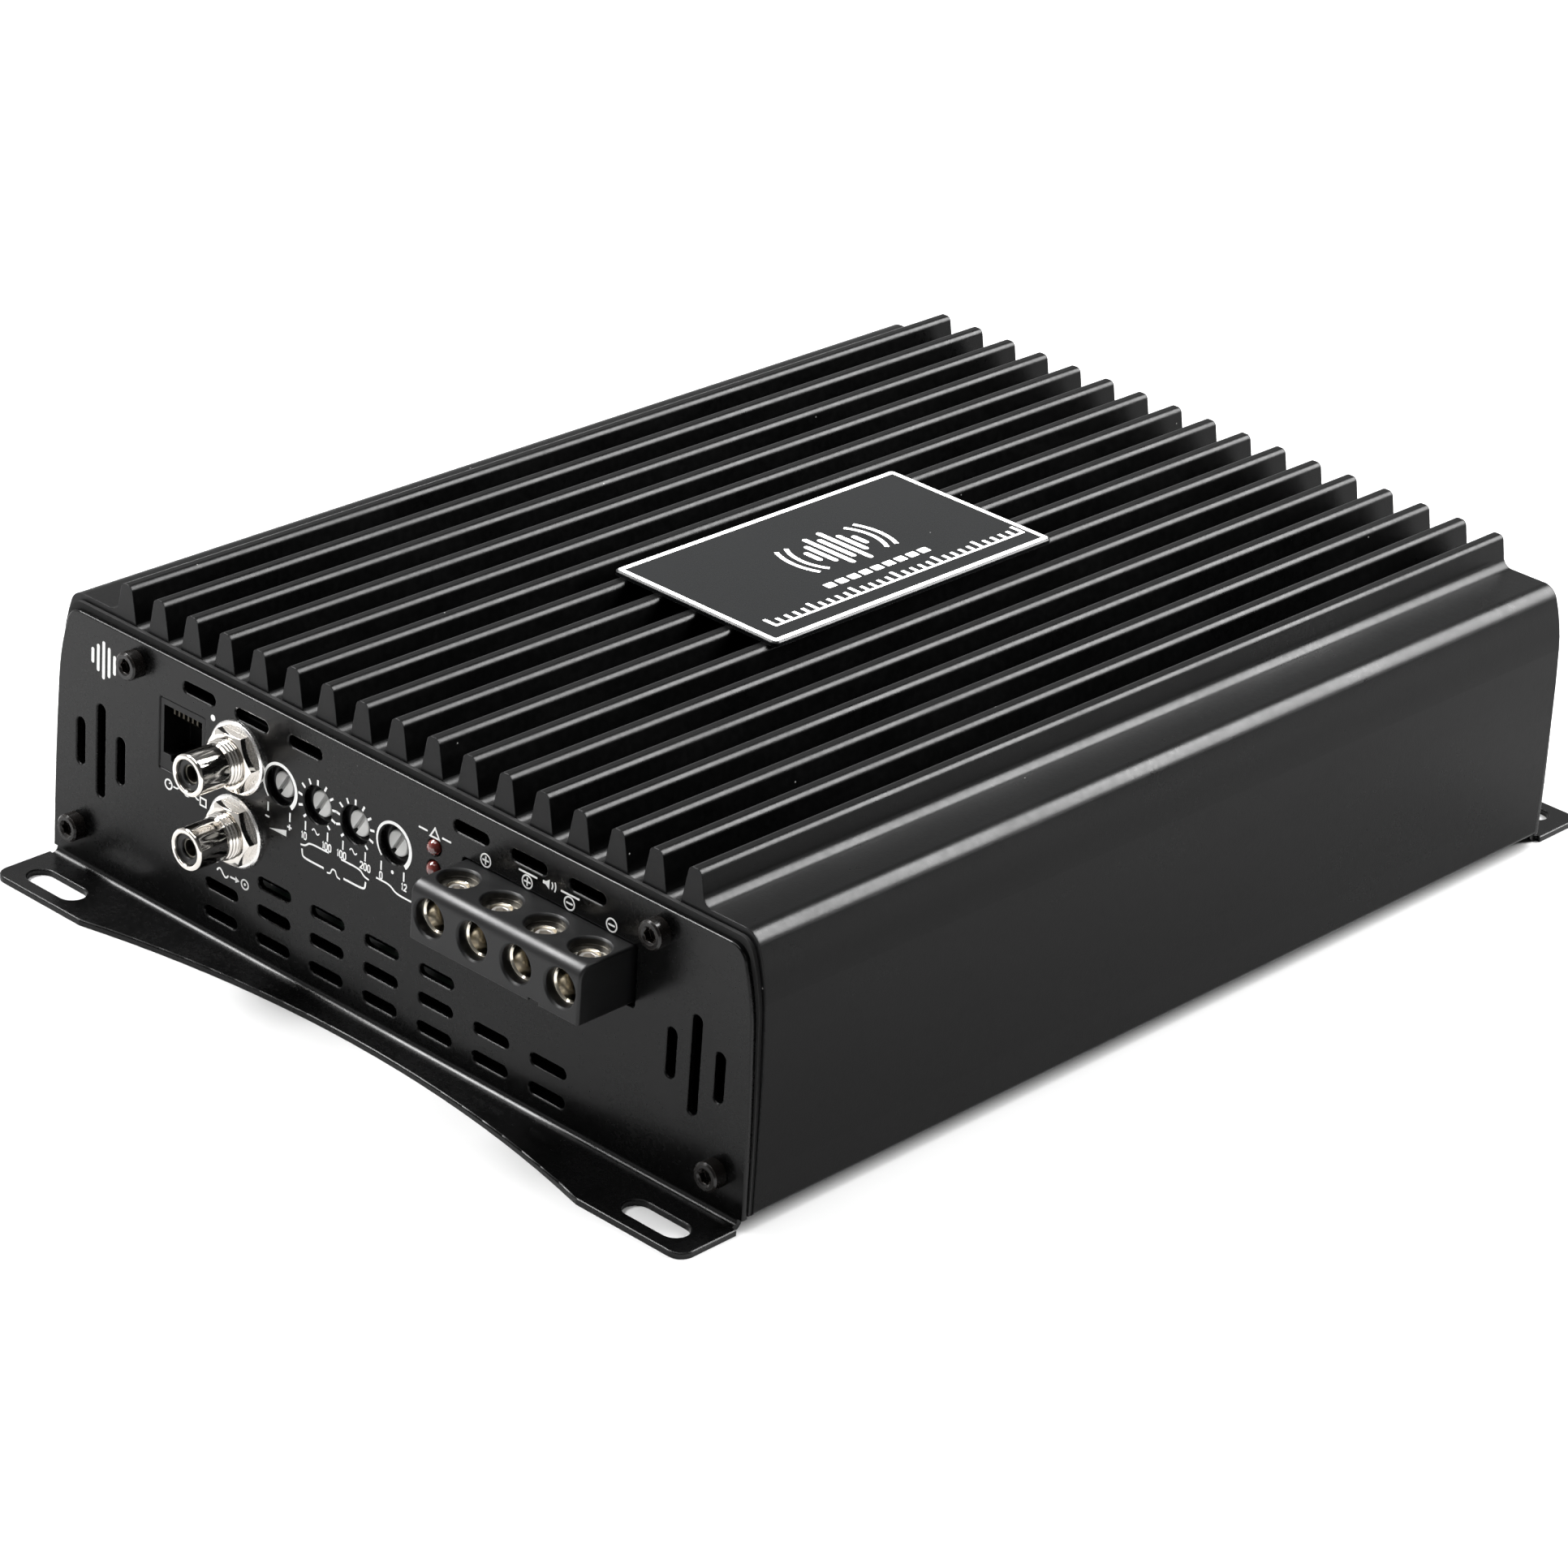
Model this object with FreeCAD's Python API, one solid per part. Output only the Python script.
import FreeCAD, Part
import math
import os

# Car amplifier. Millimetres. Origin: centre of the footprint on the mounting surface.
# X runs across the housing, Y from the control end (front, -Y) to the supply end (rear, +Y), Z is up.

V = FreeCAD.Vector
os.makedirs("parts", exist_ok=True)

# ---- driving dimensions -------------------------------------------------------------------
SHEET = 1.2             # end plate sheet thickness
GASKET = 0.8            # rubber gasket between end plate and extrusion
PLATE_Y = 115.6         # outer face of either end plate
BODY_Y = PLATE_Y - SHEET - GASKET   # end of the extrusion
FOOT_Y = 130.4          # outermost edge of the feet
BEND_R = 1.2            # inner radius of the sheet's fold
FOOT_HALF_W = 91.2
FOOT_LOBE_X = 66.0      # where the straight outer edge ends and the hollow edge begins
FOOT_WAIST_Y = 121.8    # narrowest depth of the foot, at the middle
MOUNT_X = 79.6          # mounting slot centres
MOUNT_Y = 124.6
MOUNT_LEN = 14.5
MOUNT_W = 5.5
PLATE_TOP = 53.7
SHOULDER_Z = 56.2       # flat land beside the fins
FIN_TOP = 62.45
FIN_PITCH = 9.16
FIN_COUNT = 17
VALLEY_Z = 54.1
CEILING_Z = 50.2        # underside of the extrusion's top wall
RAIL_TOP = 12.6         # circuit board rests here
RAIL_X = 80.9
WALL_IN = 88.7
PAD_X = 85.7            # thick pad on the side wall that takes the transistors' heat
COVER_Z0, COVER_Z1 = 2.6, 3.8
SCREW_TOP = (68.0, 49.0)
SCREW_BOTTOM = (84.4, 9.1)
M3_R, M3_HOLE_R, M3_CLEAR_R = 1.45, 1.5, 1.7
CAP_R, CAP_H = 2.75, 2.9

SLOT_PITCH = 14.4       # ventilation slot grid
SLOT_W, SLOT_H = 8.9, 2.3

RCA_X, RCA_Z = -39.2, (40.7, 25.7)
RCA_R = 4.15
RCA_FACE_Y = -128.1
PORT = (-61.2, -48.6, 30.3, 44.8)
POT_X = (-28.0, -17.9, -7.9, 2.2)
POT_Z = 39.1
POT_HOLE_R = 3.7
LED_X, LED_Z = 12.6, (42.9, 38.6)

TB_PITCH = 10.8         # speaker terminal pitch
TB_X = tuple(25.2 + TB_PITCH * k for k in range(4))
TB_BOX = (20.5, 62.3, 32.7, 43.8)     # x low, x high, z low, z high
TB_FACE_Y = -128.6
TB_WIRE_Z = 38.15
TB_SCREW_Y = -121.7
BOARD_Z0, BOARD_Z1 = 12.6, 14.2
BADGE = (21.1, 39.0, 1.0)             # half width, half length, thickness

# ---- helpers ------------------------------------------------------------------------------


def box(x0, x1, y0, y1, z0, z1):
    return Part.makeBox(x1 - x0, y1 - y0, z1 - z0, V(x0, y0, z0))


def cyl(r, h, p, d):
    return Part.makeCylinder(r, h, V(*p), V(*d))


def cone(r0, r1, h, p, d):
    return Part.makeCone(r0, r1, h, V(*p), V(*d))


def fuse(shapes):
    s = shapes[0]
    if len(shapes) > 1:
        s = s.fuse(shapes[1:])
    return s.removeSplitter()


def cut(s, tools):
    if tools:
        s = s.cut(tools)
    return s


def wire_from(path, to3):
    """path: first item is the start point, then ('L', p) lines and ('A', mid, end) arcs."""
    edges = []
    here = path[0]
    for seg in path[1:]:
        if seg[0] == "L":
            if (V(*to3(here)) - V(*to3(seg[1]))).Length > 1e-6:
                edges.append(Part.LineSegment(V(*to3(here)), V(*to3(seg[1]))).toShape())
            here = seg[1]
        else:
            edges.append(Part.Arc(V(*to3(here)), V(*to3(seg[1])), V(*to3(seg[2]))).toShape())
            here = seg[2]
    if (V(*to3(here)) - V(*to3(path[0]))).Length > 1e-6:
        edges.append(Part.LineSegment(V(*to3(here)), V(*to3(path[0]))).toShape())
    return Part.Wire(edges)


def mirrored(path):
    """Right-hand half path from (0, z0) round to (0, z1), completed with its mirror image."""
    pts = [path[0]] + list(path[1:])
    segs = path[1:]
    starts = [path[0]]
    for s in segs:
        starts.append(s[-1])
    back = []
    m = lambda p: (-p[0], p[1])
    for i in range(len(segs) - 1, -1, -1):
        if segs[i][0] == "L":
            back.append(("L", m(starts[i])))
        else:
            back.append(("A", m(segs[i][1]), m(starts[i])))
    return pts + back


def prism_y(path, y0, y1):
    w = wire_from(path, lambda p: (p[0], y0, p[1]))
    return Part.Face(w).extrude(V(0, y1 - y0, 0))


def prism_z(path, z0, z1):
    w = wire_from(path, lambda p: (p[0], p[1], z0))
    return Part.Face(w).extrude(V(0, 0, z1 - z0))


def stadium(xc, zc, w, h):
    """Rounded slot in the X, Z plane; w along X, h along Z."""
    if w >= h:
        r, a = h / 2.0, w / 2.0 - h / 2.0
        return [(xc - a, zc - r), ("L", (xc + a, zc - r)), ("A", (xc + a + r, zc), (xc + a, zc + r)),
                ("L", (xc - a, zc + r)), ("A", (xc - a - r, zc), (xc - a, zc - r))]
    r, a = w / 2.0, h / 2.0 - w / 2.0
    return [(xc + r, zc - a), ("L", (xc + r, zc + a)), ("A", (xc, zc + a + r), (xc - r, zc + a)),
            ("L", (xc - r, zc - a)), ("A", (xc, zc - a - r), (xc + r, zc - a))]


def rrect(x0, x1, z0, z1, r):
    k = r * (1 - math.sqrt(0.5))
    return [(x0 + r, z0), ("L", (x1 - r, z0)), ("A", (x1 - k, z0 + k), (x1, z0 + r)),
            ("L", (x1, z1 - r)), ("A", (x1 - k, z1 - k), (x1 - r, z1)),
            ("L", (x0 + r, z1)), ("A", (x0 + k, z1 - k), (x0, z1 - r)),
            ("L", (x0, z0 + r)), ("A", (x0 + k, z0 + k), (x0 + r, z0))]


def hexagon(xc, zc, af):
    r = af / math.sqrt(3.0)
    p = [(xc + r * math.cos(math.radians(60 * i)), zc + r * math.sin(math.radians(60 * i))) for i in range(6)]
    return [p[0]] + [("L", q) for q in p[1:]]


def turned(profile, axis_point, axis_dir):
    """Solid of revolution; profile is a list of (radius, height along the axis) points, closed on the axis."""
    a = V(*axis_dir)
    u = V(1, 0, 0) if abs(a.x) < 0.5 else V(0, 1, 0)
    p0 = V(*axis_point)
    pts = [p0 + u * r + a * h for r, h in profile]
    w = Part.makePolygon(pts + [pts[0]])
    return Part.Face(w).revolve(p0, a, 360)


def fillet(shape, r, pick):
    edges = [e for e in shape.Edges if pick(e)]
    return shape.makeFillet(r, edges) if edges else shape


def chamfer(shape, r, pick):
    edges = [e for e in shape.Edges if pick(e)]
    return shape.makeChamfer(r, edges) if edges else shape


def on_plane(e, axis, value, tol=1e-4):
    bb = e.BoundBox
    lo, hi = {"x": (bb.XMin, bb.XMax), "y": (bb.YMin, bb.YMax), "z": (bb.ZMin, bb.ZMax)}[axis]
    return abs(lo - value) < tol and abs(hi - value) < tol


def save(name, shape, expect=None):
    solids = shape.Solids
    if not shape.isValid():
        raise RuntimeError(name + " is not a valid shape")
    if expect is not None and len(solids) != expect:
        raise RuntimeError("%s has %d solids, not %d" % (name, len(solids), expect))
    out = solids[0] if len(solids) == 1 else Part.makeCompound(solids)
    out.exportStep("parts/%s.step" % name)
    bb = out.BoundBox
    print("%-26s %2d solid(s) %9.1f mm3  x %.2f..%.2f y %.2f..%.2f z %.2f..%.2f" % (
        name, len(solids), sum(s.Volume for s in solids), bb.XMin, bb.XMax, bb.YMin, bb.YMax, bb.ZMin, bb.ZMax))
    return out


def mirror_y(shape):
    return shape.mirror(V(0, 0, 0), V(0, 1, 0))


# ---- extrusion ----------------------------------------------------------------------------
outer = [(0.0, 2.6), ("L", (90.7, 2.6)), ("A", (91.55, 2.98), (91.9, 3.9)), ("L", (91.95, 11.0)),
         ("L", (91.9, 22.0)), ("A", (91.72, 34.0), (91.2, 43.7)), ("A", (90.35, 49.4), (88.95, 54.0)),
         ("A", (87.65, 55.6), (85.4, SHOULDER_Z)), ("L", (77.9, SHOULDER_Z)), ("A", (76.15, 56.85), (75.44, 58.5))]
half = FIN_COUNT // 2
for i in range(half, -1, -1):
    c = i * FIN_PITCH
    if i == half:
        outer.append(("L", (c + 1.566, 61.547)))
    elif i >= 0:
        outer.append(("A", (c + 2.19, 58.3), (c + 1.566, 61.547)))
    outer.append(("A", (c + 1.163, 62.196), (c + 0.442, FIN_TOP)))
    if i == 0:
        outer.append(("L", (0.0, FIN_TOP)))
        break
    outer.append(("L", (c - 0.442, FIN_TOP)))
    outer.append(("A", (c - 1.163, 62.196), (c - 1.566, 61.547)))
    outer.append(("A", (c - 2.19, 58.3), (c - 2.75, 55.2)))
    outer.append(("A", (c - FIN_PITCH / 2.0, VALLEY_Z), (c - FIN_PITCH + 2.75, 55.2)))
housing = prism_y(mirrored(outer), -BODY_Y, BODY_Y)

cavity = [(0.0, 1.0), ("L", (88.6, 1.0)), ("L", (88.6, COVER_Z1)), ("L", (RAIL_X, COVER_Z1)),
          ("L", (RAIL_X, RAIL_TOP)), ("L", (WALL_IN, RAIL_TOP)), ("L", (WALL_IN, 17.0)), ("L", (PAD_X, 18.5)),
          ("L", (PAD_X, 38.0)), ("L", (WALL_IN, 39.5)), ("L", (WALL_IN, 43.5)),
          ("A", (88.0, 47.6), (85.2, CEILING_Z)), ("L", (71.6, CEILING_Z)), ("L", (71.6, 48.6)),
          ("A", (68.0, 45.2), (64.4, 48.6)), ("L", (64.4, CEILING_Z)), ("L", (0.0, CEILING_Z))]
cavity_solid = prism_y(mirrored(cavity), -BODY_Y - 5, BODY_Y + 5)

BOARD_SCREWS = [(sx * 84.4, y) for sx in (-1, 1) for y in (-70.0, 0.0, 70.0)]
COVER_SCREWS = [(sx * 84.4, y) for sx in (-1, 1) for y in (-88.0, -30.0, 30.0, 88.0)]
CLAMP_SCREWS = [(sx, y) for sx in (-1, 1) for y in (-50.0, 0.0, 50.0)]
holes = []
for sx in (-1, 1):
    for (x, z) in (SCREW_TOP, SCREW_BOTTOM):
        for sy in (-1, 1):
            holes.append(cyl(M3_HOLE_R, 12.5, (sx * x, sy * BODY_Y, z), (0, -sy, 0)))
for (x, y) in BOARD_SCREWS:
    holes.append(cyl(M3_HOLE_R, 6.0, (x, y, RAIL_TOP), (0, 0, -1)))
for (x, y) in COVER_SCREWS:
    holes.append(cyl(M3_HOLE_R, 5.2, (x, y, COVER_Z1), (0, 0, 1)))
for (sx, y) in CLAMP_SCREWS:
    holes.append(cyl(M3_HOLE_R, 4.0, (sx * PAD_X, y, 28.0), (sx, 0, 0)))
housing = cut(housing, [cavity_solid] + holes)
save("heatsink_housing", housing, 1)

# ---- end plates ---------------------------------------------------------------------------
plate_half = [(0.0, 2.4), ("L", (91.3, 2.4)), ("L", (91.3, 3.5)), ("A", (90.95, 22.0), (90.2, 38.3)),
              ("A", (89.3, 45.4), (87.9, 50.6)), ("A", (86.75, 52.75), (84.3, PLATE_TOP)), ("L", (0.0, PLATE_TOP))]
gasket_half = [(0.0, 3.0), ("L", (91.5, 3.0)), ("L", (91.6, 4.0)), ("A", (91.35, 24.0), (90.7, 40.5)),
               ("A", (89.85, 47.2), (88.4, 52.3)), ("A", (87.15, 54.2), (84.8, 54.9)), ("L", (0.0, 54.9))]

# slot grid of the front plate: (x, z, width, height)
VENTS = [((k - 3.5) * SLOT_PITCH, 49.26, SLOT_W, SLOT_H) for k in (0, 1, 2, 5, 6, 7)]
VENTS += [((k - 3) * SLOT_PITCH, 11.86, SLOT_W, SLOT_H) for k in range(7)]
VENTS += [((k - 3) * SLOT_PITCH, 6.05, SLOT_W, SLOT_H) for k in range(7)]
VENTS_FRONT = VENTS + [((k - 3) * SLOT_PITCH, 17.63, SLOT_W, SLOT_H) for k in (1, 2, 3, 4)]
SIDE_VENTS = []
for sx in (-1, 1):
    SIDE_VENTS.append((sx * 77.83, 27.15, 2.4, 19.3))
    SIDE_VENTS.append((sx * 83.65, 27.15, 2.4, 9.7))
    SIDE_VENTS.append((sx * 72.17, 27.15, 2.4, 9.7))


def end_plate(cuts):
    """Front end plate, fold and foot as one bent sheet; cuts are made through its upright."""
    y0, y1 = -PLATE_Y, -PLATE_Y + SHEET
    upright = prism_y(mirrored(plate_half), y0, y1)
    upright = fillet(upright, 0.3, lambda e: on_plane(e, "y", y0) and e.BoundBox.ZMax > 2.5)
    bend = prism_x_profile()
    waist = -FOOT_WAIST_Y
    yo = -FOOT_Y
    yb = -(PLATE_Y + BEND_R)
    foot_path = [(-FOOT_HALF_W, yb), ("L", (-FOOT_HALF_W, yo + 3.0)),
                 ("A", (-FOOT_HALF_W + 0.88, yo + 0.88), (-FOOT_HALF_W + 3.0, yo)),
                 ("L", (-FOOT_LOBE_X, yo)), ("A", (0.0, waist), (FOOT_LOBE_X, yo)),
                 ("L", (FOOT_HALF_W - 3.0, yo)),
                 ("A", (FOOT_HALF_W - 0.88, yo + 0.88), (FOOT_HALF_W, yo + 3.0)), ("L", (FOOT_HALF_W, yb))]
    foot = prism_z(foot_path, 0.0, SHEET)
    foot = fillet(foot, 0.3, lambda e: on_plane(e, "z", SHEET) and not on_plane(e, "y", yb))
    for sx in (-1, 1):
        s = stadium(sx * MOUNT_X, -MOUNT_Y, MOUNT_LEN, MOUNT_W)
        foot = foot.cut(prism_z(s, -1.0, SHEET + 1.0))
    foot = chamfer(foot, 0.22, lambda e: on_plane(e, "z", SHEET) and abs(abs(e.BoundBox.Center.x) - MOUNT_X) < 8.0
                   and abs(e.BoundBox.Center.y + MOUNT_Y) < 3.0 and e.BoundBox.XLength < MOUNT_LEN)
    body = upright.cut(cuts)
    body = chamfer(body, 0.22, lambda e: on_plane(e, "y", y0) and e.BoundBox.ZMax < PLATE_TOP - 0.5
                   and e.BoundBox.ZMin > 2.9 and abs(e.BoundBox.Center.x) < 86.9 and e.BoundBox.XLength < 60)
    return fuse([body, bend, foot])


def prism_x_profile():
    """Quarter-round fold between upright and foot, held back a little from the sides as a bend relief."""
    yb, zb = -(PLATE_Y + BEND_R), SHEET + BEND_R
    ro, ri = BEND_R + SHEET, BEND_R
    c = math.sqrt(0.5)
    pts = [(yb, 0.0), ("A", (yb + ro * c, zb - ro * c), (yb + ro, zb)), ("L", (yb + ri, zb)),
           ("A", (yb + ri * c, zb - ri * c), (yb, zb - ri))]
    w = wire_from(pts, lambda p: (-90.2, p[0], p[1]))
    return Part.Face(w).extrude(V(180.4, 0, 0))


def through(path):
    return prism_y(path, -PLATE_Y - 2, -PLATE_Y + SHEET + 2)


front_cuts = [through(stadium(*v)) for v in VENTS_FRONT + SIDE_VENTS]
for z in RCA_Z:
    front_cuts.append(cyl(4.7, 5.2, (RCA_X, -PLATE_Y - 2, z), (0, 1, 0)))
front_cuts.append(through(rrect(PORT[0], PORT[1], PORT[2], PORT[3], 0.4)))
for x in POT_X:
    front_cuts.append(cyl(POT_HOLE_R, 5.2, (x, -PLATE_Y - 2, POT_Z), (0, 1, 0)))
for z in LED_Z:
    front_cuts.append(cyl(1.65, 5.2, (LED_X, -PLATE_Y - 2, z), (0, 1, 0)))
front_cuts.append(through(rrect(TB_BOX[0] - 0.7, TB_BOX[1] + 0.7, TB_BOX[2] - 0.7, TB_BOX[3] + 0.1, 0.5)))
screw_cuts = [cyl(M3_CLEAR_R, 5.2, (sx * x, -PLATE_Y - 2, z), (0, 1, 0))
              for sx in (-1, 1) for (x, z) in (SCREW_TOP, SCREW_BOTTOM)]
front = end_plate(front_cuts + screw_cuts)
save("front_end_plate", front, 1)

PB_BOX = (-24.0, 24.0, 25.5, 46.0)      # power terminal block outside the rear plate
rear_cuts = [through(stadium(*v)) for v in VENTS + SIDE_VENTS]
rear_cuts.append(through(rrect(PB_BOX[0] - 0.7, PB_BOX[1] + 0.7, PB_BOX[2] - 0.7, PB_BOX[3] + 0.5, 0.5)))
rear = mirror_y(end_plate(rear_cuts + screw_cuts))
save("rear_end_plate", rear, 1)

# ---- gaskets ------------------------------------------------------------------------------
gasket = prism_y(mirrored(gasket_half), -PLATE_Y + SHEET, -BODY_Y)
gasket = cut(gasket, [cavity_solid.copy()] + [cyl(M3_CLEAR_R, 6, (sx * x, -PLATE_Y, z), (0, 1, 0))
                                              for sx in (-1, 1) for (x, z) in (SCREW_TOP, SCREW_BOTTOM)])
gasket_y = prism_y(mirrored(cavity), -PLATE_Y, -BODY_Y + 1)
gasket = cut(gasket, [gasket_y])
save("front_gasket", gasket, 1)
save("rear_gasket", mirror_y(gasket), 1)

# ---- bottom cover -------------------------------------------------------------------------
cover = prism_z(rrect(-88.5, 88.5, -113.4, 113.4, 1.0), COVER_Z0, COVER_Z1)
cover = cut(cover, [cone(2.9, 1.7, 1.2, (x, y, COVER_Z0), (0, 0, 1)) for x, y in COVER_SCREWS])
save("bottom_cover", cover, 1)


def hex_recess(p, d, af, depth):
    """Hexagonal key recess starting at p and running along d."""
    h = prism_z(hexagon(0, 0, af), 0, depth)
    rot = FreeCAD.Rotation(V(0, 0, 1), V(*d))
    h.Placement = FreeCAD.Placement(V(*p), rot)
    return h


cs = []
for x, y in COVER_SCREWS:
    s = turned([(0, 0), (2.82, 0), (2.82, 0.08), (M3_R, 1.2), (M3_R, 5.9), (1.1, 6.2), (0, 6.2)],
               (x, y, COVER_Z0), (0, 0, 1))
    s = s.cut(hex_recess((x, y, COVER_Z0), (0, 0, 1), 2.0, 0.9))
    cs.append(s)
save("bottom_cover_screws", Part.makeCompound(cs), 8)

# ---- end plate screws ---------------------------------------------------------------------
es = []
for sx in (-1, 1):
    for (x, z) in (SCREW_TOP, SCREW_BOTTOM):
        head = turned([(0, 0), (CAP_R - 0.35, 0), (CAP_R, 0.35), (CAP_R, CAP_H - 0.12), (CAP_R - 0.12, CAP_H), (M3_R, CAP_H),
                       (M3_R, CAP_H + 11.0), (1.1, CAP_H + 11.4), (0, CAP_H + 11.4)],
                      (sx * x, -PLATE_Y - CAP_H, z), (0, 1, 0))
        head = head.cut([hex_recess((sx * x, -PLATE_Y - CAP_H - 0.01, z), (0, 1, 0), 2.5, 1.6),
                         cone(1.75, 1.3, 0.35, (sx * x, -PLATE_Y - CAP_H - 0.01, z), (0, 1, 0))])
        es.append(head)
        es.append(mirror_y(head))
save("end_plate_screws", Part.makeCompound(es), 8)

# ---- badge --------------------------------------------------------------------------------
badge = prism_z(rrect(-BADGE[0], BADGE[0], -BADGE[1], BADGE[1], 1.2), FIN_TOP, FIN_TOP + BADGE[2])
badge = chamfer(badge, 0.25, lambda e: on_plane(e, "z", FIN_TOP + BADGE[2]))
save("badge_plate", badge, 1)

# ---- phono sockets ------------------------------------------------------------------------
shells, nuts, washers, cores, contacts = [], [], [], [], []
for z in RCA_Z:
    p = (RCA_X, RCA_FACE_Y, z)
    L0 = 128.1 - 107.6
    shell = turned([(3.1, 0.25), (3.35, 0.0), (RCA_R - 0.35, 0.0), (RCA_R, 0.35), (RCA_R, 1.5), (RCA_R - 0.3, 1.75),
                    (RCA_R - 0.3, 2.0), (RCA_R, 2.2), (RCA_R, 6.9), (4.3, 7.05), (4.5, 7.3), (4.5, L0), (3.1, L0)], p, (0, 1, 0))
    shells.append(shell)
    nut = prism_y(hexagon(RCA_X, z, 11.0), -118.8, -116.6)
    nut = nut.common(turned([(0, 0), (5.3, 0), (6.4, 0.65), (6.4, 2.2), (0, 2.2)], (RCA_X, -118.8, z), (0, 1, 0)))
    nut = nut.cut(cyl(4.55, 4, (RCA_X, -120, z), (0, 1, 0)))
    nuts.append(nut)
    w = turned([(4.6, 0.12), (4.75, 0), (6.8, 0), (7.15, 0.3), (7.15, 1.0), (4.6, 1.0)], (RCA_X, -116.6, z), (0, 1, 0))
    washers.append(w)
    core = turned([(1.9, 0.0), (3.1, 0.0), (3.1, L0 - 0.8), (1.9, L0 - 0.8)], (RCA_X, RCA_FACE_Y + 0.8, z), (0, 1, 0))
    core = chamfer(core, 0.15, lambda e: on_plane(e, "y", RCA_FACE_Y + 0.8))
    cores.append(core)
    t = turned([(1.6, 0.0), (1.9, 0.0), (1.9, L0 - 1.4), (0.5, L0 - 1.4), (0.5, L0 + 2.2), (0, L0 + 2.2), (0, L0 - 3.5), (1.6, L0 - 3.5)],
               (RCA_X, RCA_FACE_Y + 1.4, z), (0, 1, 0))
    contacts.append(t)
save("rca_shells", Part.makeCompound(shells), 2)
save("rca_nuts", Part.makeCompound(nuts), 2)
save("rca_washers", Part.makeCompound(washers), 2)
save("rca_insulators", Part.makeCompound(cores), 2)
save("rca_contacts", Part.makeCompound(contacts), 2)

jack = box(-45.6, -32.9, -113.6, -107.4, 17.9, 48.4)
jack = fillet(jack, 0.6, lambda e: abs(e.BoundBox.YLength - 6.2) < 1e-3)
jack = cut(jack, [cyl(4.5, 6.2, (RCA_X, -113.7, z), (0, 1, 0)) for z in RCA_Z] +
           [cyl(1.2, 2, (RCA_X, -108, z), (0, 1, 0)) for z in RCA_Z])
save("rca_socket_body", jack, 1)

# ---- remote port --------------------------------------------------------------------------
px0, px1, pz0, pz1 = PORT
port = box(px0 + 0.1, px1 - 0.1, -115.4, -107.4, pz0 + 0.1, pz1 - 0.1)
port = fillet(port, 0.35, lambda e: abs(e.BoundBox.YLength - 8.0) < 1e-3)
port_cavity = box(px0 + 1.0, px1 - 1.0, -116, -109.0, pz0 + 3.4, pz1 - 1.3)
notch = box(px0 + 3.1, px1 - 3.1, -116, -109.0, pz0 + 2.2, pz0 + 3.5)
notch2 = box(px0 + 4.2, px1 - 4.2, -116, -109.0, pz0 + 1.0, pz0 + 2.3)
port = cut(port, [fuse([port_cavity, notch, notch2])])
save("remote_port_housing", port, 1)
pins = []
for i in range(6):
    x = (px0 + px1) / 2.0 + (i - 2.5) * 1.27
    r = 0.23
    pts = [V(x, -109.0, pz1 - 3.0), V(x, -114.2, pz1 - 1.9), V(x, -114.2, pz1 - 2.6), V(x, -109.9, pz1 - 6.0), V(x, -109.0, pz1 - 6.0),
           V(x, -109.0, pz1 - 6.5), V(x, -110.1, pz1 - 6.5), V(x, -114.7, pz1 - 2.8), V(x, -114.7, pz1 - 1.35), V(x, -109.0, pz1 - 2.5)]
    f = Part.Face(Part.makePolygon(pts + [pts[0]]))
    f.translate(V(-r, 0, 0))
    pins.append(f.extrude(V(2 * r, 0, 0)))
save("remote_port_contacts", Part.makeCompound(pins), 6)

# ---- trimmers -----------------------------------------------------------------------------
ROTOR_R = 2.5
names = ("gain_rotor", "high_pass_rotor", "low_pass_rotor", "bass_boost_rotor")
bodies = []
for x, name in zip(POT_X, names):
    b = box(x - 4.75, x + 4.75, -113.9, -107.4, POT_Z - 4.75, POT_Z + 4.75)
    b = fillet(b, 0.5, lambda e: abs(e.BoundBox.YLength - 6.5) < 1e-3)
    b = cut(b, [cyl(ROTOR_R + 0.05, 4.2, (x, -113.9 - 0.01, POT_Z), (0, 1, 0)),
                cone(ROTOR_R + 0.75, ROTOR_R + 0.05, 0.7, (x, -113.9 - 0.001, POT_Z), (0, 1, 0))])
    bodies.append(b)
    r = turned([(0, 0), (ROTOR_R - 0.2, 0), (ROTOR_R, 0.2), (ROTOR_R, 4.6), (0, 4.6)], (x, -114.5, POT_Z), (0, 1, 0))
    slot = box(-0.5, 0.5, -115.0, -113.4, -3.2, 3.2)
    slot.rotate(V(0, 0, 0), V(0, 1, 0), 33.0)
    slot.translate(V(x, 0, POT_Z))
    save(name, r.cut(slot), 1)
save("pot_bodies", Part.makeCompound(bodies), 4)

# ---- lamps --------------------------------------------------------------------------------
for z, name in zip(LED_Z, ("protect_led", "power_led")):
    led = fuse([cyl(1.5, 4.4, (LED_X, -115.4, z), (0, 1, 0)), cyl(1.9, 1.0, (LED_X, -112.0, z), (0, 1, 0)),
                Part.makeSphere(1.5, V(LED_X, -115.4, z))])
    legs = [box(LED_X + s * 0.9 - 0.25, LED_X + s * 0.9 + 0.25, -111.1, -107.4, z - 0.25, z + 0.25) for s in (-1, 1)]
    save(name, fuse([led] + legs), 1)

# ---- upright control board ----------------------------------------------------------------
ctrl = box(-64.0, 17.5, -107.4, -105.8, 17.0, 47.6)
ctrl = cut(ctrl, [cyl(1.2, 4, (RCA_X, -108.5, z), (0, 1, 0)) for z in RCA_Z])
save("control_board", ctrl, 1)


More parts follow.
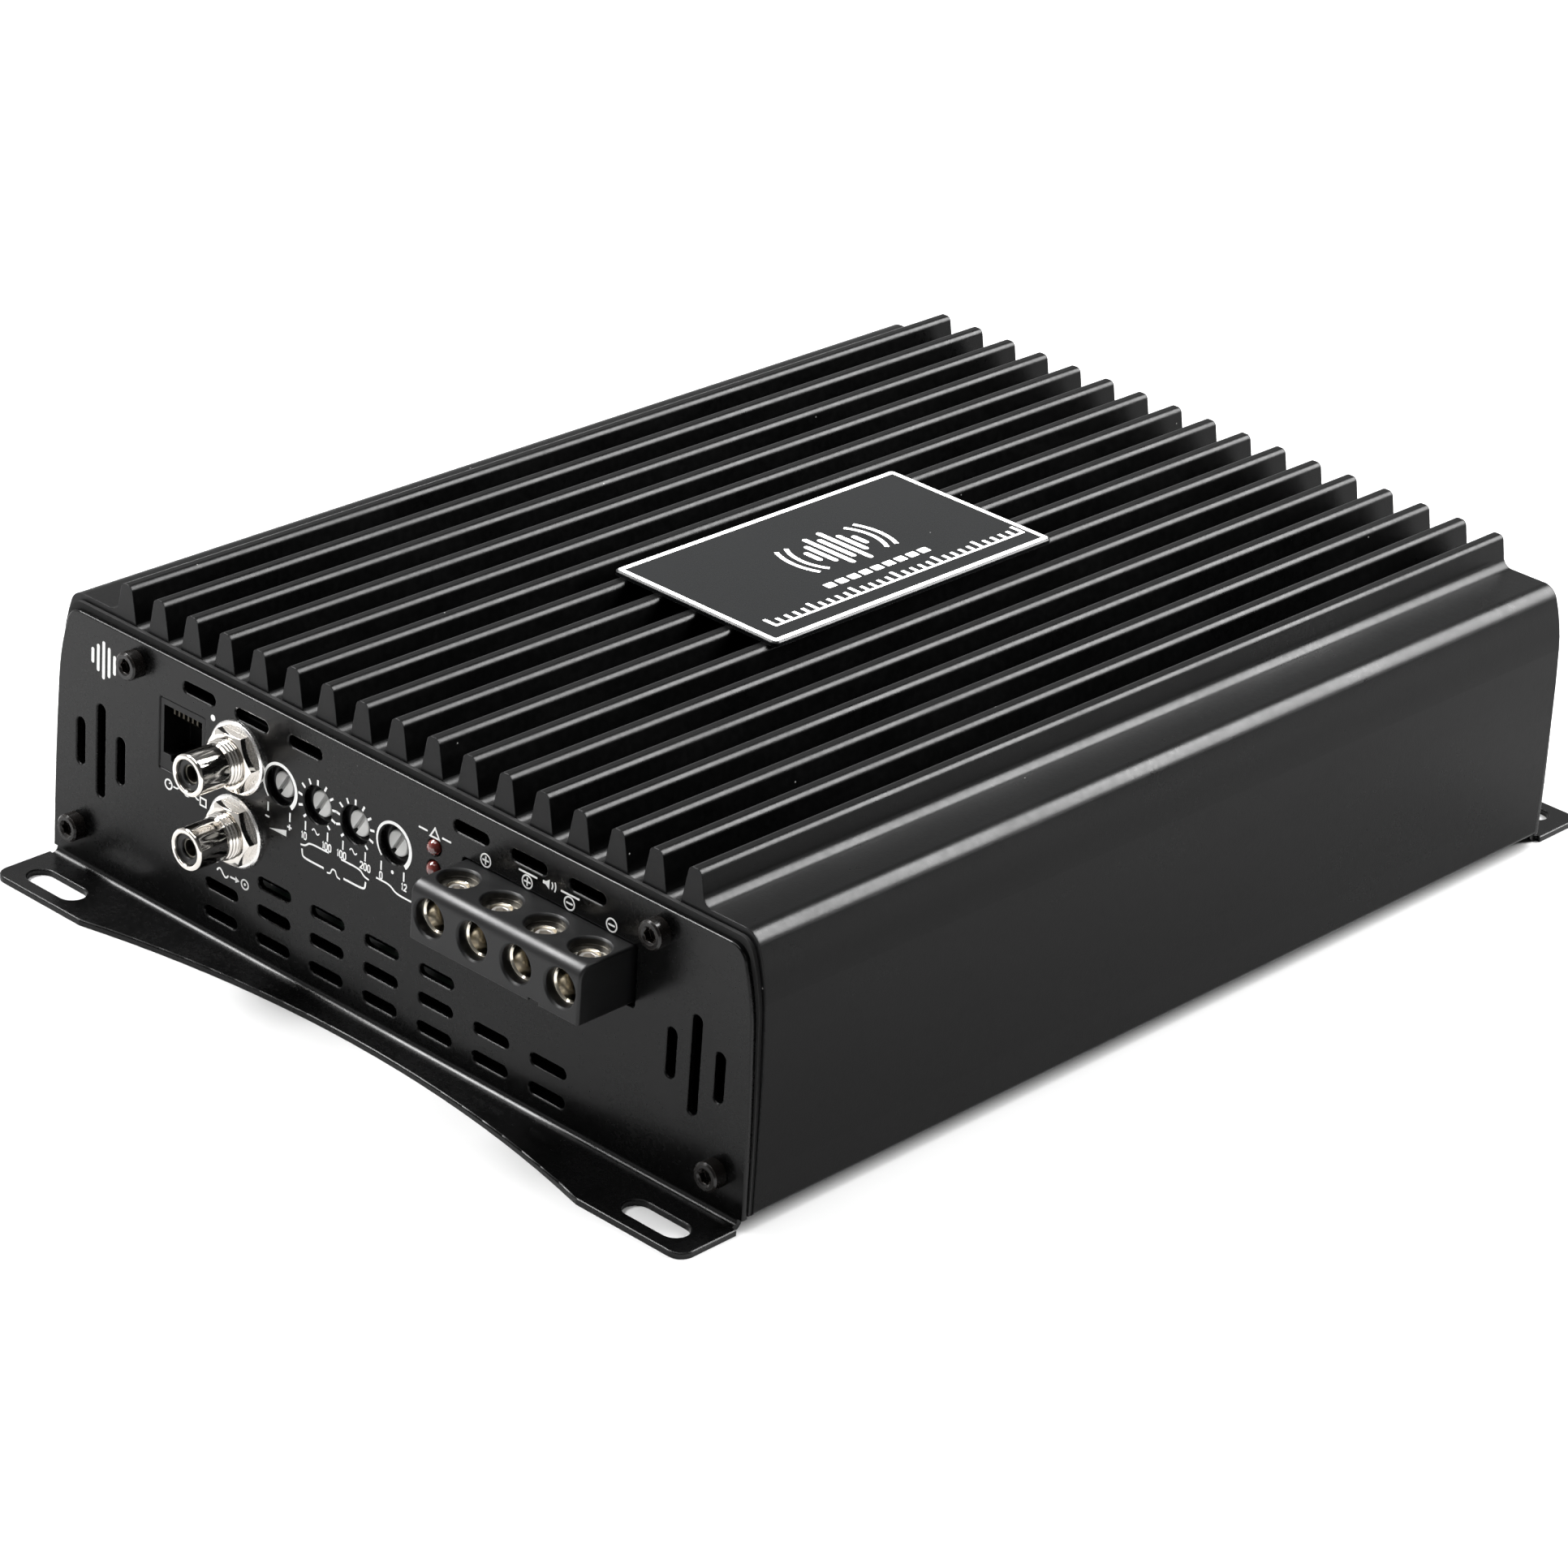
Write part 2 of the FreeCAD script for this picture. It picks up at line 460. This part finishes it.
# ---- screw terminals ----------------------------------------------------------------------
def terminal(x, face_y, wire_z, wire_r, entry_r, entry_len, screw_y, screw_r, head_hole_r, top_z,
             metal_hw, metal_z0, metal_z1, metal_back_y, screw_top, screw_len, pad_t, pad_r, hex_af):
    """One way of a terminal block on the front side (face towards -Y). Returns metal, screw, pad, plastic cuts."""
    metal = box(x - metal_hw, x + metal_hw, face_y + entry_len, metal_back_y, metal_z0, metal_z1)
    metal = fillet(metal, 0.4, lambda e: e.BoundBox.YLength > 5 and e.BoundBox.XLength < 1e-3 and e.BoundBox.ZLength < 1e-3)
    metal = cut(metal, [cyl(wire_r, 40, (x, face_y - 1, wire_z), (0, 1, 0)).common(
        box(x - 20, x + 20, face_y - 1, metal_back_y - 1.5, wire_z - 20, wire_z + 20)),
        cyl(screw_r + 0.05, 30, (x, screw_y, wire_z), (0, 0, 1)),
        cone(wire_r + 0.35, wire_r, 0.35, (x, face_y + entry_len - 0.001, wire_z), (0, 1, 0))])
    tip = screw_top - screw_len
    body = turned([(0, 0), (screw_r - 0.3, 0), (screw_r, 0.3), (screw_r, screw_len - 0.3), (screw_r - 0.3, screw_len), (0, screw_len)],
                  (x, screw_y, tip), (0, 0, 1))
    body = body.cut([hex_recess((x, screw_y, screw_top + 0.01), (0, 0, -1), hex_af, screw_len * 0.55),
                     cyl(1.0, 1.3, (x, screw_y, tip), (0, 0, 1))])
    pad = fuse([cyl(pad_r, pad_t, (x, screw_y, tip - 0.05 - pad_t), (0, 0, 1)),
                cyl(0.95, 1.2, (x, screw_y, tip - 0.05), (0, 0, 1))])
    cuts = [box(x - metal_hw, x + metal_hw, face_y + entry_len, metal_back_y, metal_z0, metal_z1).common(metal_hull(
                x, metal_hw, face_y + entry_len, metal_back_y, metal_z0, metal_z1)),
            cyl(entry_r, entry_len + 1, (x, face_y - 1, wire_z), (0, 1, 0)),
            cone(entry_r + 0.35, entry_r, 0.35, (x, face_y - 0.001, wire_z), (0, 1, 0)),
            cyl(head_hole_r, top_z - metal_z1 + 1, (x, screw_y, metal_z1), (0, 0, 1)),
            cone(head_hole_r, head_hole_r + 0.35, 0.35, (x, screw_y, top_z - 0.349), (0, 0, 1))]
    return metal, body, pad, cuts


def metal_hull(x, hw, y0, y1, z0, z1):
    m = box(x - hw, x + hw, y0, y1, z0, z1)
    return fillet(m, 0.4, lambda e: e.BoundBox.YLength > 5 and e.BoundBox.XLength < 1e-3 and e.BoundBox.ZLength < 1e-3)


def block_nose(b, back_y, r):
    """Moulded nose of a terminal block: rounded top front edge, small rounds on the sides' outline."""
    x0, x1, z0, z1 = b
    k = r * (1 - math.sqrt(0.5))
    path = [(TB_FACE_Y, z0), ("L", (TB_FACE_Y, z1 - r)), ("A", (TB_FACE_Y + k, z1 - k), (TB_FACE_Y + r, z1)),
            ("L", (back_y, z1)), ("L", (back_y, z0))]
    n = Part.Face(wire_from(path, lambda p: (x0, p[0], p[1]))).extrude(V(x1 - x0, 0, 0))
    return fillet(n, 0.5, lambda e: (on_plane(e, "x", x0) or on_plane(e, "x", x1)) and not on_plane(e, "y", back_y)
                  and not on_plane(e, "z", z0))


# speaker terminal block, four ways, standing on the main board behind the plate
nose = block_nose(TB_BOX, -100.5, 2.4)
leg = box(TB_BOX[0], TB_BOX[1], -113.4, -100.5, BOARD_Z1, TB_BOX[2] + 2)
block = fuse([nose, leg])
metals, block_cuts = [], []
for k, x in enumerate(TB_X):
    metal, screw, pad, cuts = terminal(x, TB_FACE_Y, TB_WIRE_Z, 3.0, 3.6, 2.0, TB_SCREW_Y, 1.95, 3.6, TB_BOX[3],
                                       4.1, 34.0, 42.3, -104.0, 41.9, 4.3, 0.65, 1.6, 2.0)
    metals.append(metal)
    block_cuts += cuts
    save("speaker_screw_%d" % (k + 1), screw, 1)
    save("speaker_pad_%d" % (k + 1), pad, 1)
save("speaker_terminal_sockets", Part.makeCompound(metals), 4)
block_cuts.append(box(50.2, 52.8, TB_FACE_Y - 1.0, TB_FACE_Y + 1.4, TB_BOX[2] - 1.0, TB_BOX[2] + 0.6))   # moulding notch
block = cut(block, block_cuts)
save("speaker_terminal_block", block, 1)

# power terminal block in the rear plate: ground, remote turn-on, supply
PB_X = (-13.6, 0.0, 13.6)
nose = block_nose(PB_BOX, -98.0, 2.4)
leg = box(PB_BOX[0], PB_BOX[1], -113.4, -98.0, BOARD_Z1, PB_BOX[2] + 2)
block = fuse([nose, leg])
metals, block_cuts = [], []
PB_SPEC = (
    # wire_z, wire_r, entry_r, screw_r, head hole r, metal half width, metal z0, z1, screw top, length, pad t, pad r, hex
    (32.2, 4.3, 5.2, 3.95, 4.8, 5.6, 27.0, 43.9, 45.7, 8.2, 0.9, 3.6, 4.0),
    (35.0, 2.0, 2.6, 1.95, 2.6, 3.0, 32.0, 43.9, 45.7, 8.0, 0.6, 1.5, 2.0),
    (32.2, 4.3, 5.2, 3.95, 4.8, 5.6, 27.0, 43.9, 45.7, 8.2, 0.9, 3.6, 4.0),
)
for k, (x, s) in enumerate(zip(PB_X, PB_SPEC)):
    metal, screw, pad, cuts = terminal(x, TB_FACE_Y, s[0], s[1], s[2], 2.0, TB_SCREW_Y, s[3], s[4], PB_BOX[3],
                                       s[5], s[6], s[7], -102.0, s[8], s[9], s[10], s[11], s[12])
    metals.append(metal)
    block_cuts += cuts
    save("power_screw_%d" % (k + 1), mirror_y(screw), 1)
    save("power_pad_%d" % (k + 1), mirror_y(pad), 1)
save("power_terminal_sockets", mirror_y(Part.makeCompound(metals)), 3)
save("power_terminal_block", mirror_y(cut(block, block_cuts)), 1)

# ---- main board ---------------------------------------------------------------------------
board = prism_z(rrect(-86.0, 86.0, -110.0, 110.0, 1.5), BOARD_Z0, BOARD_Z1)
board = cut(board, [cyl(M3_CLEAR_R, 4, (x, y, BOARD_Z0 - 1), (0, 0, 1)) for x, y in BOARD_SCREWS])
save("main_circuit_board", board, 1)
bs = []
for x, y in BOARD_SCREWS:
    s = turned([(0, 0), (2.2, 0), (2.75, -0.5), (2.75, -1.9), (M3_R, -1.9), (M3_R, -7.4), (1.1, -7.7), (0, -7.7)],
               (x, y, BOARD_Z1 + 1.9), (0, 0, 1))
    s = s.cut(hex_recess((x, y, BOARD_Z1 + 1.91), (0, 0, -1), 2.0, 1.1))
    bs.append(s)
save("board_screws", Part.makeCompound(bs), 6)


def toroid(c, ro, ri, z0, z1, lap, spans):
    core = cyl(ro, z1 - z0, (c[0], c[1], z0), (0, 0, 1)).cut(cyl(ri, z1 - z0, (c[0], c[1], z0), (0, 0, 1)))
    core = fillet(core, 1.0, lambda e: on_plane(e, "z", z0) or on_plane(e, "z", z1))
    env = cyl(ro + lap, z1 - z0 + 2 * lap, (c[0], c[1], z0 - lap), (0, 0, 1)).cut(
        cyl(ri - lap, z1 - z0 + 2 * lap, (c[0], c[1], z0 - lap), (0, 0, 1)))
    env = fillet(env, lap * 0.9, lambda e: on_plane(e, "z", z0 - lap) or on_plane(e, "z", z1 + lap))
    coils = []
    for a0, a1 in spans:
        n = 8
        pts = [(c[0], c[1])]
        for i in range(n + 1):
            a = math.radians(a0 + (a1 - a0) * i / n)
            pts.append((c[0] + 3 * ro * math.cos(a), c[1] + 3 * ro * math.sin(a)))
        wedge = prism_z([pts[0]] + [("L", q) for q in pts[1:]], z0 - lap - 1, z1 + lap + 1)
        coils.append(env.common(wedge).cut(core))
    return core, coils


core, coils = toroid((-38.0, 32.0), 24.0, 13.0, BOARD_Z1 + 2.2, BOARD_Z1 + 22.0, 2.2, ((-80, 80), (100, 260)))
save("power_transformer_core", core, 1)
save("power_transformer_winding", Part.makeCompound(coils), 2)
core, coils = toroid((42.0, -62.0), 16.0, 8.5, BOARD_Z1 + 1.8, BOARD_Z1 + 15.8, 1.8, ((-150, 150),))
save("output_inductor_core", core, 1)
save("output_inductor_winding", Part.makeCompound(coils), 1)


def can(x, y, r, h):
    c = cyl(r, h, (x, y, BOARD_Z1), (0, 0, 1))
    c = fillet(c, 0.8, lambda e: on_plane(e, "z", BOARD_Z1 + h))
    ring = Part.makeTorus(r + 0.55, 1.0, V(x, y, BOARD_Z1 + 3.2), V(0, 0, 1))
    cross = [box(x - r * 0.6, x + r * 0.6, y - 0.25, y + 0.25, BOARD_Z1 + h - 0.3, BOARD_Z1 + h + 1),
             box(x - 0.25, x + 0.25, y - r * 0.6, y + r * 0.6, BOARD_Z1 + h - 0.3, BOARD_Z1 + h + 1)]
    return cut(c, [ring] + cross)


save("rail_capacitors", Part.makeCompound([can(x, -68.0, 9.0, 25.5) for x in (-56.0, -34.5, -13.0, 8.5)]), 4)
save("input_capacitors", Part.makeCompound([can(x, 74.0, 8.0, 24.5) for x in (20.0, 39.0, 58.0)]), 3)

drv = box(18.0, 60.0, 12.0, 13.6, BOARD_Z1, 37.0)
chips = [box(24.0, 34.0, 10.4, 12.0, 20.0, 27.5), box(40.0, 52.0, 10.4, 12.0, 20.0, 27.5)]
save("driver_board", fuse([drv] + chips), 1)

trs, strips, bars, cscrews = [], [], [], []
for sx in (-1, 1):
    for i in range(6):
        y = -62.5 + 25.0 * i
        pk = box(80.9, 85.4, y - 5.0, y + 5.0, 19.0, 28.2)
        tab = box(84.1, 85.4, y - 5.0, y + 5.0, 28.2, 34.6).cut(cyl(1.8, 10, (80, y, 31.6), (1, 0, 0)))
        legs = [box(82.6, 83.1, y + d - 0.4, y + d + 0.4, BOARD_Z1, 19.0) for d in (-2.54, 0, 2.54)]
        t = fuse([pk, tab] + legs)
        trs.append(t if sx > 0 else t.mirror(V(0, 0, 0), V(1, 0, 0)))
    st = box(85.4, 85.7, -71.0, 71.0, 18.8, 36.0)
    st = cut(st, [cyl(1.8, 2, (84.8, y, 28.0), (1, 0, 0)) for y in (-50.0, 0.0, 50.0)])
    strips.append(st if sx > 0 else st.mirror(V(0, 0, 0), V(1, 0, 0)))
    br = box(78.4, 80.9, -70.0, 70.0, 20.5, 31.5)
    br = fillet(br, 0.4, lambda e: e.BoundBox.YLength > 100)
    br = cut(br, [cyl(M3_CLEAR_R, 6, (77, y, 28.0), (1, 0, 0)) for y in (-50.0, 0.0, 50.0)])
    bars.append(br if sx > 0 else br.mirror(V(0, 0, 0), V(1, 0, 0)))
    for y in (-50.0, 0.0, 50.0):
        s = turned([(0, 0), (2.3, 0), (2.75, 0.45), (2.75, 2.4), (M3_R, 2.4), (M3_R, 13.1), (1.1, 13.4), (0, 13.4)],
                   (76.0, y, 28.0), (1, 0, 0))
        s = s.cut(hex_recess((75.99, y, 28.0), (1, 0, 0), 2.5, 1.4))
        cscrews.append(s if sx > 0 else s.mirror(V(0, 0, 0), V(1, 0, 0)))
save("power_transistors", Part.makeCompound(trs), 12)
save("insulating_strips", Part.makeCompound(strips), 2)
save("clamp_bars", Part.makeCompound(bars), 2)
save("clamp_screws", Part.makeCompound(cscrews), 6)
